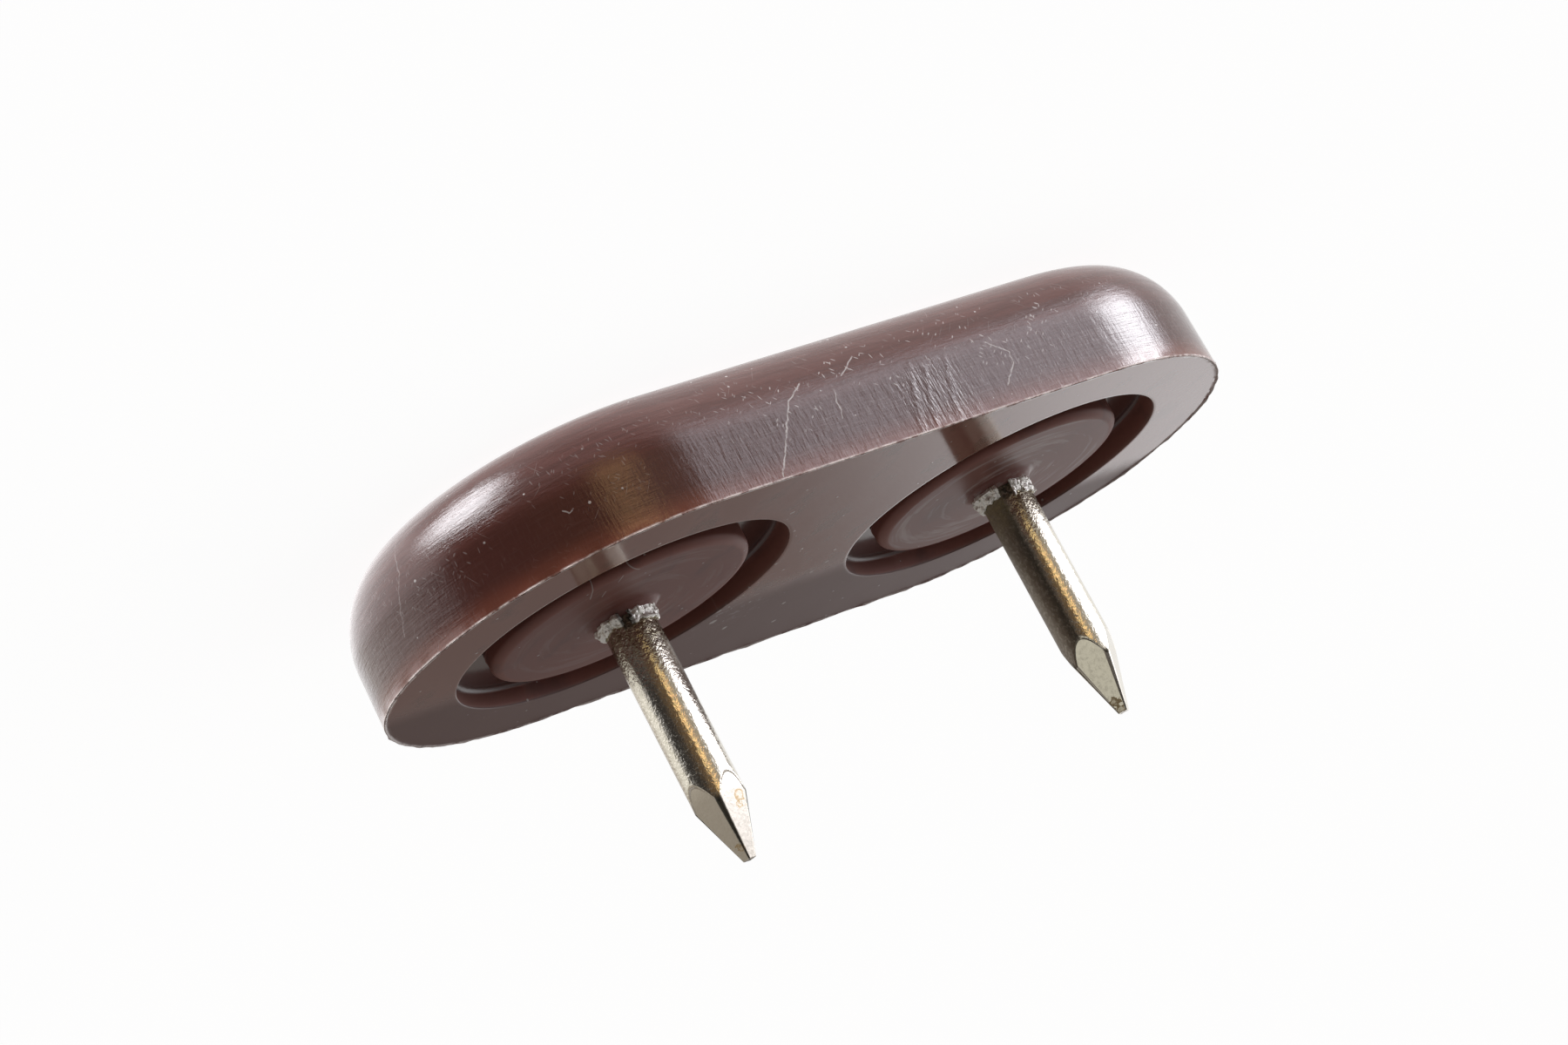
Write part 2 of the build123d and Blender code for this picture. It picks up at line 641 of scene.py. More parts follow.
@dataclass(frozen=True)
class BrownPlastic:
    """Moulded brown plastic, satin on the walls and turned on the bosses.

    Attributes:
        slot: material slot of the record.
        brown: colour of the plastic.
        deep: its darker flow lines, also used as painted shade on the face towards +Y and on the groove floors.
        upright: colour of the upright wall, darker than the rounding as painted shade.
        face: colour of the mounting face, a lighter copy of the plastic as painted light.
        turned: colour of the bosses.
        hollow: colour of the recesses' walls and of the bosses' edges, a lighter copy of the plastic as painted
            light.
        glow: red that light leaves in the wall along the mounting face's edge.
        blush: pale colour of flash and scuffs.
        dust: colour of dust and fresh scratches, also laid on the bosses as painted sheen.
        spine_half: half the distance between the centres of the round ends, in millimetres.
        face_half: half the width of the mounting face.
        nail_half: half the distance between the nails.
        relief_depth: depth of the surface's relief.
        refraction: refractive index.
        inside_zone: distances from the spine between which the wall turns into the mounting side.
        top_zone: heights above which the mounting side, with its recesses, lies.
        sole_zone: heights over which the plain sole ends.
        upright_zone: heights over which the rounding turns into the upright wall.
        boss_zone: distances from a nail at which a boss's flat top ends.
        hollow_zone: heights under which the face turns into a recess.
        groove_inner: distances from a nail at which the groove starts.
        groove_outer: distances at which it ends.
        groove_zone: heights under which it lies.
        smear: middle of the dusty smear on the mounting face.
        fibre_width: half the width of a fibre.
        scratches: long scratches on the wall.
        sink_marks: places along the outline where the wall has a narrow upright ridge.
        flecks: place and size of each fleck of dust on the mounting face.
        fibres: course of each fibre on the left boss.
    """

    slot: str = "brown_plastic"
    brown: Colour = (0.106, 0.040, 0.033)
    deep: Colour = (0.084, 0.031, 0.025)
    upright: Colour = (0.070, 0.025, 0.020)
    face: Colour = (0.244, 0.098, 0.077)
    turned: Colour = (0.172, 0.058, 0.044)
    hollow: Colour = (0.215, 0.074, 0.054)
    glow: Colour = (0.20, 0.066, 0.042)
    blush: Colour = (0.62, 0.54, 0.51)
    dust: Colour = (0.66, 0.64, 0.62)
    spine_half: float = 9.7
    face_half: float = 10.3
    nail_half: float = 9.6
    relief_depth: float = 0.006
    refraction: float = 1.5
    inside_zone: Point = (10.26, 10.2)
    top_zone: Point = (4.3, 4.4)
    sole_zone: Point = (0.02, 0.4)
    upright_zone: Point = (2.5, 3.6)
    boss_zone: Point = (5.30, 5.15)
    hollow_zone: Point = (5.76, 5.72)
    groove_inner: Point = (5.66, 5.70)
    groove_outer: Point = (7.295, 7.26)
    groove_zone: Point = (5.3, 5.2)
    smear: Place = (2.4, 3.6, 5.8)
    fibre_width: float = 0.035
    scratches: tuple[Scratch, ...] = (
        Scratch(1.0, 0.042, ((4.0, 2.3), (4.9, 2.9), (5.3, 3.5), (6.1, 4.7), (6.8, 5.7))),
        Scratch(0.8, 0.038, ((2.8, 3.0), (3.1, 4.2))),
        Scratch(0.8, 0.038, ((1.1, 1.8), (2.1, 2.5))),
        Scratch(0.9, 0.038, ((-4.7, 3.0), (-5.5, 3.7), (-5.4, 4.2), (-4.6, 5.0))),
        Scratch(0.3, 0.04, ((22.9, 0.8), (22.7, 2.3), (23.8, 4.4))),
        Scratch(0.6, 0.035, ((15.4, 3.8), (15.2, 4.0), (15.0, 3.9))),
    )
    sink_marks: tuple[float, ...] = (-0.5, -1.2, -2.3)
    flecks: tuple[tuple[Point, float], ...] = (
        ((2.97, 5.03), 0.20),
        ((3.24, 3.82), 0.13),
        ((1.72, 6.44), 0.14),
        ((-1.03, 2.79), 0.12),
        ((-1.46, 2.06), 0.09),
        ((1.23, 1.11), 0.10),
        ((2.18, -0.03), 0.10),
        ((-1.58, 8.0), 0.13),
        ((-1.09, 5.85), 0.10),
        ((4.25, -5.91), 0.12),
    )
    fibres: tuple[tuple[Point, ...], ...] = (
        ((11.97, -6.02), (11.59, -5.3), (11.01, -4.96)),
        ((11.67, -4.25), (11.7, -4.82)),
        ((12.97, -4.67), (12.57, -3.29)),
        ((11.98, -3.61), (11.94, -3.09)),
    )

    def material(self) -> bpy.types.Material:
        """Wire the finish.

        Returns:
            The material.
        """
        material, board, shader, place = start_finish(self.slot)
        board.plug(shader.inputs["IOR"], self.refraction)
        x, y, z = board.split(place)

        # Place along the outline, distance from its spine, and distance from the nearest nail
        spine = board.most(board.math("MINIMUM", x, self.spine_half), -self.spine_half)
        past = board.minus(x, spine)
        out = board.hypot(past, y)
        turn = board.math("ARCTAN2", past, board.times(y, -1.0))
        run = board.plus(spine, board.times(turn, self.face_half))
        wall_place = board.vector(run, z, 0.0)
        side = board.minus(board.math("ABSOLUTE", x), self.nail_half)
        ring = board.hypot(side, y)

        # Mounting side, boss tops, groove floors, upright wall
        inside = board.fade(out, *self.inside_zone)
        top = board.times(board.fade(z, *self.top_zone), inside)
        outer = board.minus(board.fade(z, *self.sole_zone), top, clamp=True)
        boss = board.times(top, board.fade(ring, *self.boss_zone))
        below = board.times(top, board.fade(z, *self.hollow_zone))
        groove = board.times(board.fade(ring, *self.groove_inner), board.fade(ring, *self.groove_outer))
        groove = board.times(groove, board.times(below, board.fade(z, *self.groove_zone)))
        upright = board.times(outer, board.fade(z, *self.upright_zone))

        # Plastic with flow lines along the body, painted shade on the upright wall, the face towards +Y and the
        # groove floors, painted light on the mounting side and in the recesses, red light in the wall's edge
        flow = board.noise(board.vector(board.times(run, 0.09), z, out), 2.4, 4.0, 0.65)
        colour = board.tint(board.fade(flow, 0.4, 0.6), self.brown, self.deep)
        # Painted shade: the upright wall darkened, standing in for the lower light that falls on it
        colour = board.tint(board.times(upright, 0.9), colour, self.upright)
        # Painted light: a lighter copy of the plastic on the mounting side, making up for the little light that
        # reaches it
        colour = board.tint(top, colour, self.face)
        # Painted shade: the mounting face darkened towards +Y
        far_shade = board.times(top, board.fade(y, 1.6, 4.4, 0.0, 0.85))
        colour = board.tint(far_shade, colour, self.deep)
        # Painted light: a lighter copy of the plastic in the recesses, making up for the shade that falls there
        colour = board.tint(below, colour, self.hollow)
        colour = board.tint(boss, colour, self.turned)
        cloud = board.noise(board.scale(place, (1.0, 0.6, 1.0)), 0.55, 3.0, 0.6)
        colour = board.tint(board.times(top, board.fade(cloud, 0.52, 0.70, 0.0, 0.5)), colour, self.brown)
        # Painted shade: the groove floors darkened, where shade falls in the recesses
        colour = board.tint(groove, colour, self.deep)
        glow = board.times(outer, board.fade(z, 4.7, 5.85, 0.0, 0.65))
        colour = board.tint(glow, colour, self.glow)

        # Flash along the edge of the mounting face, rim of the recesses
        ragged = board.fade(board.noise(wall_place, 1.6, 3.0, 0.7), 0.36, 0.6, 0.1, 1.0)
        lip = board.times(board.fade(out, 10.14, 10.24), board.fade(z, 5.72, 5.8))
        flash = board.times(lip, ragged)
        rim = board.math("ABSOLUTE", board.minus(ring, 7.33))
        rim = board.times(board.fade(rim, 0.08, 0.02, 0.0, 0.1), board.fade(z, 5.6, 5.75))
        colour = board.tint(board.most(flash, rim), colour, self.blush)

        # Nicks in clusters where the rounding meets the wall, hairlines, long scratches, dust, painted sheen on the
        # bosses
        edge_zone = board.times(board.fade(z, 0.6, 2.2), board.fade(z, 4.8, 3.2, 0.15, 1.0))
        crowd = board.fade(board.noise(wall_place, 0.42, 2.0), 0.38, 0.58)
        middle = board.fade(board.math("ABSOLUTE", board.plus(run, 1.0)), 10.0, 6.0, 0.25, 1.0)
        crowd = board.times(board.times(crowd, middle), edge_zone)
        marks = board.times(crowd, self.nicks(board, wall_place))
        hairs = [
            board.place(
                SCRATCHES.group(), Vector=wall_place, Angle=angle, Across=4.0, Along=along, Width=0.06, Share=0.35
            )
            for angle, along in ((0.9, 0.12), (2.3, 0.15))
        ]
        marks = board.most(marks, board.times(board.most(*hairs), 0.2))
        marks = board.most(marks, self.long_scratches(board, wall_place))
        marks = board.times(marks, outer)
        loose = board.place(SPECKS.group(), Vector=place, Density=2.4, Size=0.15, Share=0.16)
        smear = board.apart(place, self.smear)
        smear = board.times(board.fade(smear, 3.2, 0.8), board.minus(top, below, clamp=True))
        crumbs = board.place(SPECKS.group(), Vector=place, Density=4.0, Size=0.26, Share=0.30)
        film = board.fade(board.noise(board.scale(place, (0.8, 1.6, 1.0)), 1.6, 4.0, 0.7), 0.54, 0.72, 0.0, 0.5)
        grit = board.most(loose, board.times(smear, board.most(crumbs, film)))
        # Painted sheen: pale concentric streaks on the bosses, strongest on the right one, standing in for the turned
        # rings' reflection
        arc = board.times(board.math("ARCTAN2", y, side), 0.8)
        swirl_sheen = board.noise(board.vector(arc, board.times(ring, 1.6), board.math("SIGN", x)), 1.2, 4.0, 0.6)
        swirl_sheen = board.times(board.fade(swirl_sheen, 0.5, 0.66), boss)
        colour = board.tint(board.times(swirl_sheen, board.fade(x, -4.0, 4.0, 0.27, 0.07)), colour, self.dust)
        ticks = board.noise(board.scale(wall_place, (9.0, 1.5, 1.0)), 1.0, 3.0, 0.6)
        lines = board.noise(board.scale(wall_place, (0.7, 11.0, 1.0)), 1.0, 2.0, 0.6)
        haze = board.most(board.fade(ticks, 0.50, 0.70), board.fade(lines, 0.54, 0.72))
        haze = board.times(board.times(haze, upright), board.fade(run, 9.0, 4.0, 0.15, 1.0))
        colour = board.tint(board.times(haze, 0.07), colour, self.dust)
        colour = board.tint(board.times(marks, 0.6), colour, self.dust)
        litter = board.times(self.litter(board, board.vector(x, y, 0.0)), top)
        colour = board.tint(board.times(board.most(grit, litter), 0.6), colour, self.dust)
        board.plug(shader.inputs["Base Color"], colour)

        # Gloss: worn smooth on the upright wall and the face, matt in the recesses, marks and flash
        gloss = board.fade(flow, 0.35, 0.65, 0.11, 0.19)
        gloss = board.mix(upright, gloss, 0.10)
        gloss = board.mix(top, gloss, board.fade(cloud, 0.40, 0.62, 0.08, 0.15))
        gloss = board.mix(far_shade, gloss, 0.5)
        gloss = board.mix(below, gloss, 0.58)
        gloss = board.mix(boss, gloss, board.fade(x, -4.0, 4.0, 0.47, 0.55))
        gloss = board.mix(groove, gloss, board.fade(ring, 7.0, 7.1, 0.10, 0.24))
        gloss = board.mix(board.most(marks, flash), gloss, 0.5)
        board.plug(shader.inputs["Roughness"], gloss)

        # Relief: grain, fine lines of the mould, folds and narrow ridges of the upright wall, dust
        relief = board.times(board.noise(place, 6.0, 2.0, 0.6), 0.3)
        pressed = board.fade(board.math("ABSOLUTE", board.plus(run, 1.3)), 2.2, 0.6, 1.3, 3.4)
        brushed = board.plus(board.times(ticks, pressed), board.times(lines, 0.9))
        relief = board.plus(relief, board.times(brushed, upright))
        streaks = board.noise(board.scale(wall_place, (0.8, 4.5, 1.0)), 1.0, 5.0, 0.7)
        streaks = board.times(streaks, board.mix(upright, 3.6, 1.6))
        relief = board.plus(relief, board.times(streaks, outer))
        folds = board.noise(board.scale(wall_place, (3.0, 0.8, 1.0)), 1.0, 3.0, 0.6)
        relief = board.plus(relief, board.times(folds, board.times(upright, 1.6)))
        relief = board.plus(relief, board.times(self.ridges(board, run, z), upright))
        relief = board.plus(relief, board.times(loose, 0.8))
        board.plug(shader.inputs["Normal"], board.bump(relief, self.relief_depth))
        return material

    def nicks(self, board: Board, wall_place: Socket) -> Socket:
        """Short nicks in three directions.

        Args:
            board: the material's node tree.
            wall_place: place along the outline and height.

        Returns:
            The socket with the mask.
        """
        return board.strongest(
            board.place(
                SCRATCHES.group(), Vector=wall_place, Angle=angle, Across=4.6, Along=along, Width=0.15, Share=share
            )
            for angle, along, share in ((0.8, 1.1, 0.34), (2.2, 1.4, 0.34), (1.5, 0.9, 0.26))
        )

    def long_scratches(self, board: Board, wall_place: Socket) -> Socket:
        """The long scratches, wavering and broken in places.

        Args:
            board: the material's node tree.
            wall_place: place along the outline and height.

        Returns:
            The socket with the mask.
        """
        waver = board.noise(wall_place, 2.5, 1.0)
        shift = board.times(board.minus(waver, 0.5), 0.25)
        place = board.vectors("ADD", wall_place, board.vector(shift, 0.0, 0.0))
        mask = board.strongest(
            board.times(board.strongest(stretches(board, place, scratch.points, scratch.width)), scratch.strength)
            for scratch in self.scratches
        )
        return board.times(mask, board.fade(board.noise(wall_place, 4.0), 0.35, 0.5, 0.35, 1.0))

    def litter(self, board: Board, place: Socket) -> Socket:
        """Ragged flecks and thin fibres lying on the mounting side.

        Args:
            board: the material's node tree.
            place: place seen along the nails, in millimetres.

        Returns:
            The socket with the mask.
        """
        ragged = board.times(board.minus(board.noise(place, 6.0, 3.0, 0.7), 0.5), 0.3)
        mask: Wire = 0.0
        for centre, size in self.flecks:
            offset = board.apart(place, (*centre, 0.0))
            offset = board.math("DIVIDE", board.plus(offset, ragged), size)
            mask = board.most(board.fade(offset, 1.0, 0.6), mask)
        for fibre in self.fibres:
            for line in stretches(board, place, fibre, self.fibre_width):
                mask = board.most(board.times(line, 0.7), mask)
        return mask

    def ridges(self, board: Board, run: Socket, z: Socket) -> Socket:
        """Narrow upright ridges of the wall, leaning a little.

        Args:
            board: the material's node tree.
            run: distance along the outline.
            z: height.

        Returns:
            The socket with their height.
        """
        lean = board.times(board.minus(z, 4.0), 0.34)
        upright = board.minus(run, lean)
        ragged = board.noise(board.vector(run, z, 0.0), 2.2, 2.0, 0.6)
        upright = board.plus(upright, board.times(board.minus(ragged, 0.5), 0.3))
        total: Wire = 0.0
        for mark in self.sink_marks:
            offset = board.math("ABSOLUTE", board.minus(upright, mark))
            total = board.plus(board.fade(offset, 0.24, 0.0, 0.0, 1.5), total)
        return board.times(total, board.fade(ragged, 0.3, 0.6, 0.4, 1.0))


@dataclass(frozen=True)
class NailSteel:
    """Bright nickel on drawn steel wire, grained near the plastic, stained at the point.

    Attributes:
        slot: material slot of the record.
        bright: colour of clean metal.
        dull: colour of pits and worn patches.
        side_shade_brown: brown painted as shade on one side of the right nail.
        stain: brown of the stains near the point.
        burr: colour of the torn metal of the grip collar.
        grime_and_shade: yellowish dirt in the collar's cracks, and painted shade at the wire's foot.
        shade_black: black painted as shade in the collars' notches, along the points' ridges and on the right nail's
            shaded side.
        nail_half: half the distance between the nails, in millimetres.
        collar_top: height at which the grip collar ends.
        shank_radius: radius of the wire.
        tip: height of the point's end.
        relief_depth: depth of the surface's relief.
        notch_turn: direction of the notches of the grip collars, in degrees from +X.
        ridge_turns: direction of a ridge of the left and of the right point.
        blots: place and size of each stain.
    """

    slot: str = "nail_steel"
    bright: Colour = (0.74, 0.70, 0.62)
    dull: Colour = (0.46, 0.42, 0.35)
    side_shade_brown: Colour = (0.190, 0.150, 0.112)
    stain: Colour = (0.34, 0.22, 0.07)
    burr: Colour = (0.96, 0.95, 0.90)
    grime_and_shade: Colour = (0.30, 0.25, 0.14)
    shade_black: Colour = (0.045, 0.042, 0.032)
    nail_half: float = 9.6
    collar_top: float = 6.75
    shank_radius: float = 1.1
    tip: float = 16.7
    relief_depth: float = 0.010
    notch_turn: float = -60.0
    ridge_turns: Point = (-59.0, -89.0)
    blots: tuple[tuple[Place, float], ...] = (
        ((9.1, -0.7, 14.3), 0.26),
        ((9.2, -0.65, 14.7), 0.16),
        ((9.9, -0.2, 16.2), 0.2),
        ((-9.3, -0.2, 16.2), 0.24),
        ((-9.45, -0.2, 16.6), 0.16),
    )

    def material(self) -> bpy.types.Material:
        """Wire the finish.

        Returns:
            The material.
        """
        material, board, shader, place = start_finish(self.slot)
        x, y, z = board.split(place)
        hand = board.math("SIGN", x)
        side = board.minus(x, board.times(hand, self.nail_half))
        out = board.hypot(side, y)

        # Torn collar, grain that is coarser near the plastic, painted shade on one side of the right nail
        collar = board.times(
            board.fade(z, self.collar_top + 0.03, self.collar_top - 0.02),
            board.fade(out, self.shank_radius + 0.02, self.shank_radius + 0.05),
        )
        foot = board.fade(z, 9.8, 6.6)
        grain = board.noise(board.scale(place, (1.0, 1.0, 0.8)), 7.5, 2.5, 0.65)
        round_wire = board.fade(out, self.shank_radius - 0.05, self.shank_radius - 0.015)
        pits = board.times(board.fade(grain, 0.52, 0.68), board.mix(foot, 0.05, 0.5))
        colour = board.tint(pits, self.bright, self.dull)
        # Painted shade: one side of the right nail darkened from black to brown, standing in for a dark reflection
        towards = board.plus(board.times(side, 0.84), board.times(y, 0.54))
        ragged = board.times(board.minus(grain, 0.5), 0.5)
        shade = board.times(board.fade(board.plus(towards, ragged), 0.05, 0.30), board.fade(hand, 0.5, -0.5))
        shade = board.times(shade, round_wire)
        shade = board.times(shade, board.fade(grain, 0.45, 0.75, 0.95, 0.7))
        film = board.tint(board.fade(towards, 0.2, 0.8), self.shade_black, self.side_shade_brown)
        colour = board.tint(shade, colour, film)
        # Painted shade, partly dirt: the wire darkened towards its foot by the plastic, in mottled patches
        mottle = board.noise(place, 3.0, 4.0, 0.65)
        grimy_foot_shade = board.times(board.fade(z, 8.6, 6.5), board.fade(mottle, 0.35, 0.65, 0.35, 0.85))
        colour = board.tint(grimy_foot_shade, colour, self.grime_and_shade)
        grit = board.place(SPECKS.group(), Vector=place, Density=2.6, Size=0.2, Share=0.08)
        colour = board.tint(board.times(grit, 0.5), colour, self.dull)
        stain = self.stains(board, place)
        colour = board.tint(board.times(stain, 0.8), colour, self.stain)
        teeth = board.noise(board.scale(place, (1.0, 1.0, 0.3)), 7.0, 3.0, 0.7)
        colour = board.tint(collar, colour, board.tint(board.fade(teeth, 0.56, 0.70), self.burr, self.grime_and_shade))
        # Painted shade: black in the collars' notches and along the points' ridges
        black = self.painted_shade_lines(board, hand, side, y, z, out, grain)
        colour = board.tint(black, colour, self.shade_black)
        board.plug(shader.inputs["Base Color"], colour)
        metal = board.mix(shade, 1.0, 0.35)
        board.plug(shader.inputs["Metallic"], board.mix(collar, metal, 0.55))

        # Gloss: duller in pits, stains and painted shade, and on the torn collar
        gloss = board.fade(grain, 0.35, 0.7, 0.12, 0.20)
        gloss = board.plus(gloss, board.times(pits, 0.12))
        gloss = board.mix(board.most(shade, board.most(stain, black)), gloss, 0.42)
        gloss = board.mix(collar, gloss, 0.34)
        board.plug(shader.inputs["Roughness"], gloss)

        # Relief: drawn lines along the wire, grain, shallow dents, teeth of the collar
        drawn = board.noise(board.scale(place, (1.0, 1.0, 0.06)), 12.0, 2.0)
        relief = board.times(drawn, 0.12)
        coarse = board.mix(round_wire, 0.15, board.mix(foot, 1.7, 2.3))
        dents = board.noise(board.scale(place, (1.0, 1.0, 0.6)), 2.6, 2.0, 0.6)
        relief = board.plus(relief, board.times(grain, coarse))
        relief = board.plus(relief, board.times(dents, board.times(round_wire, 1.1)))
        relief = board.plus(relief, board.times(board.times(teeth, collar), 5.0))
        board.plug(shader.inputs["Normal"], board.bump(relief, self.relief_depth))
        return material

    def stains(self, board: Board, place: Socket) -> Socket:
        """Ragged brown stains, darker towards their edges.

        Args:
            board: the material's node tree.
            place: place in millimetres.

        Returns:
            The socket with the mask.
        """
        ragged = board.times(board.minus(board.noise(place, 3.5, 3.0, 0.6), 0.5), 0.7)
        mask: Wire = 0.0
        for centre, size in self.blots:
            offset = board.apart(place, centre)
            offset = board.math("DIVIDE", board.plus(offset, ragged), size)
            ring = board.times(board.fade(offset, 1.0, 0.8), board.fade(offset, 0.2, 0.8, 0.25, 1.0))
            mask = board.most(ring, mask)
        return mask

    def painted_shade_lines(
        self,
        board: Board,
        hand: Socket,
        side: Socket,
        y: Socket,
        z: Socket,
        out: Socket,
        grain: Socket,
    ) -> Socket:
        """Painted black shade in the notches of the collars and along the ridges of the points.

        Args:
            board: the material's node tree.
            hand: 1 on the left nail and -1 on the right one.
            side: distance from the nail's axis along X.
            y: distance from the nail's axis along Y.
            z: height.
            out: distance from the nail's axis.
            grain: soft noise.

        Returns:
            The socket with the mask.
        """
        turn = board.math("ARCTAN2", y, side)
        notch = board.math("COSINE", board.minus(turn, math.radians(self.notch_turn)))
        notch = board.times(board.fade(notch, 0.965, 0.985), board.fade(z, 6.75, 6.45))
        notch = board.times(notch, board.fade(grain, 0.35, 0.6, 0.5, 0.95))
        left, right = (math.radians(angle) for angle in self.ridge_turns)
        ridge = board.minus(turn, board.mix(board.fade(hand, -0.5, 0.5), right, left))
        ridge = board.math("ABSOLUTE", board.math("SINE", board.times(ridge, 2.0)))
        offset = board.times(ridge, board.times(out, 0.5))
        offset = board.plus(offset, board.times(board.minus(grain, 0.5), 0.06))
        root = board.fade(hand, -0.5, 0.5, 0.04, 0.15)
        width = board.mix(board.fade(z, self.tip - 2.9, self.tip), root, 0.03)
        ridge = board.fade(board.math("DIVIDE", offset, width), 1.0, 0.75, 0.0, 0.9)
        ridge = board.times(ridge, board.fade(z, self.tip - 2.9, self.tip - 2.5))
        return board.most(notch, ridge)


@dataclass
class GlideBody:
    """The moulded body: stadium outline, rounded sole, two recesses with bosses. Sizes in millimetres.

    Attributes:
        draft: lean of the wall, in degrees.
        recess_tilt: lean of the groove's floor, in degrees.
        nail_fillet: radius and height of the plastic drawn up round a nail, from the boss to the wire.
        lip_grains: grain and depth of each roughening of the flash.
        smooth_angle: angle from which an edge stays sharp, in degrees.
    """

    length: float = 40.0
    width: float = 20.6
    height: float = 5.8
    draft: float = 1.1
    rounding_width: float = 2.9
    rounding_height: float = 3.4
    nail_spacing: float = 19.2
    recess_radius: float = 7.3
    recess_floor: float = 4.84
    recess_tilt: float = 1.3
    recess_foot: Point = (0.28, 0.24)
    rim_round: float = 0.035
    boss_radius: float = 5.65
    boss_top: float = 5.7
    boss_edge: Point = (0.45, 0.35)
    nail_fillet: tuple[Point, ...] = ((1.66, 5.7), (1.6, 5.7), (1.5, 5.74), (1.4, 5.83), (1.28, 5.96), (1.12, 6.04))
    lip_height: float = 0.05
    lip_width: float = 0.13
    lip_grains: tuple[Point, Point] = ((0.7, 0.09), (0.22, 0.05))
    smooth_angle: float = 28
    end_steps: int = 120
    side_steps: int = 48
    ring_steps: int = 160
    rounding_steps: int = 26
    wall_steps: int = 6
    rim_steps: int = 4
    foot_steps: int = 8
    floor_steps: int = 4
    edge_steps: int = 10
    boss_steps: int = 5

    def section(self) -> list[Point]:
        """Half section from the sole's edge over the rounding and the wall to the mounting face.

        Returns:
            Points, each a distance from the spine and a height.
        """
        face_half = self.width / 2
        wall_foot = face_half - (self.height - self.rounding_height) * math.tan(math.radians(self.draft))
        sole_half = wall_foot - self.rounding_width
        centre = (sole_half, self.rounding_height)
        points = quarter(centre, self.rounding_width, self.rounding_height, 270, self.rounding_steps)
        edge = (face_half, self.height - 0.04)
        points += ease(points[-1], edge, self.wall_steps)
        points += [
            edge,
            (face_half + 0.012, self.height + 0.4 * self.lip_height),
            (face_half - 0.02, self.height + self.lip_height),
            (face_half - 0.45 * self.lip_width, self.height + 0.7 * self.lip_height),
            (face_half - self.lip_width, self.height),
            (face_half - 2 * self.lip_width, self.height),
        ]
        return points

    def recess_section(self) -> list[Point]:
        """Half section of a recess from its rim over the groove and the boss to the nail's axis.

        Returns:
            Points, each a distance from the nail's axis and a height.
        """
        foot_width, foot_height = self.recess_foot
        edge_width, edge_height = self.boss_edge
        rim = self.recess_radius + self.rim_round
        points = [(rim + 0.12, self.height)]
        rounding = quarter((0.0, self.height - self.rim_round), self.rim_round, self.rim_round, 0, self.rim_steps)
        points += [(rim - radius, height) for radius, height in reversed(rounding)]
        foot = (self.recess_radius - foot_width, self.recess_floor + foot_height)
        points += quarter(foot, -foot_width, foot_height, 180, self.foot_steps)
        points += ease(points[-1], (self.boss_radius, self.recess_floor), self.floor_steps)
        points.append((self.boss_radius, self.recess_floor))
        edge = (self.boss_radius - edge_width, self.boss_top - edge_height)
        points += quarter(edge, edge_width, edge_height, 0, self.edge_steps)
        points += ease(points[-1], self.nail_fillet[0], self.boss_steps)
        points += self.nail_fillet
        points.append((0.0, self.nail_fillet[-1][1]))
        return points

    def sweep(self) -> bpy.types.Object:
        """Sweep the section round the two ends and along the two sides.

        Returns:
            The open shell, in edit mode.
        """
        spine = (self.length - self.width) / 2 * MM
        shell = Bench.draw("moulded_body", [Vector((spine, -out * MM, up * MM)) for out, up in self.section()])
        stride = 2 * spine / self.side_steps
        for centre in (spine, -spine):
            bpy.ops.mesh.spin(steps=self.end_steps, angle=math.pi, center=(centre, 0, 0), axis=(0, 0, -1))
            for _ in range(self.side_steps):
                bpy.ops.mesh.extrude_region_move(
                    TRANSFORM_OT_translate={"value": (math.copysign(stride, -centre), 0, 0)}
                )
        Bench.close()
        return shell

    def recess(self) -> bpy.types.Object:
        """Turn one recess with its boss about the left nail's axis.

        Returns:
            The open shell of the recess.
        """
        centre = self.nail_spacing / 2 * MM
        line = [Vector((centre + out * MM, 0, up * MM)) for out, up in self.recess_section()]
        shell = Bench.draw("recess", line)
        bpy.ops.mesh.spin(steps=self.ring_steps, angle=2 * math.pi, center=(centre, 0, 0), axis=(0, 0, -1))
        Bench.close()
        floor = self.recess_floor * MM
        Bench.pick(shell, lambda at: at.z < floor + self.recess_foot[1] * MM)
        bpy.ops.transform.rotate(
            value=math.radians(self.recess_tilt), orient_axis="Y", center_override=(centre, 0, floor)
        )
        return shell

    def build(self) -> bpy.types.Object:
        """Build the body as one closed shell.

        Returns:
            The finished piece.
        """
        left = self.recess()
        right = Bench.copy(left)
        Bench.take(right)
        bpy.ops.mesh.select_all(action="SELECT")
        bpy.ops.transform.translate(value=(-self.nail_spacing * MM, 0, 0))
        shell = self.sweep()
        body = Bench.join([shell, left, right])
        body.name = "moulded_body"
        Bench.take(body)
        Bench.pick(body, lambda at: at.z < MERGE)
        bpy.ops.mesh.edge_face_add()
        bpy.ops.mesh.select_all(action="DESELECT")
        bpy.ops.mesh.select_non_manifold(extend=False, use_wire=False, use_multi_face=False, use_non_contiguous=False)
        bpy.ops.mesh.fill(use_beauty=True)
        Bench.close()
        lip = Bench.group(body, "lip", self.is_lip)
        for grain, depth in self.lip_grains:
            Bench.roughen(body, grain, depth, lip)
        Bench.smooth(body, self.smooth_angle)
        return body

    def is_lip(self, at: Vector) -> bool:
        """Say if a place is on the flash round the mounting face.

        Args:
            at: the place, in metres.

        Returns:
            True on the flash.
        """
        spine = (self.length - self.width) / 2 * MM
        out = math.hypot(max(abs(at.x) - spine, 0.0), at.y)
        return at.z > (self.height - 0.02) * MM and out > (self.width / 2 - 0.9 * self.lip_width) * MM

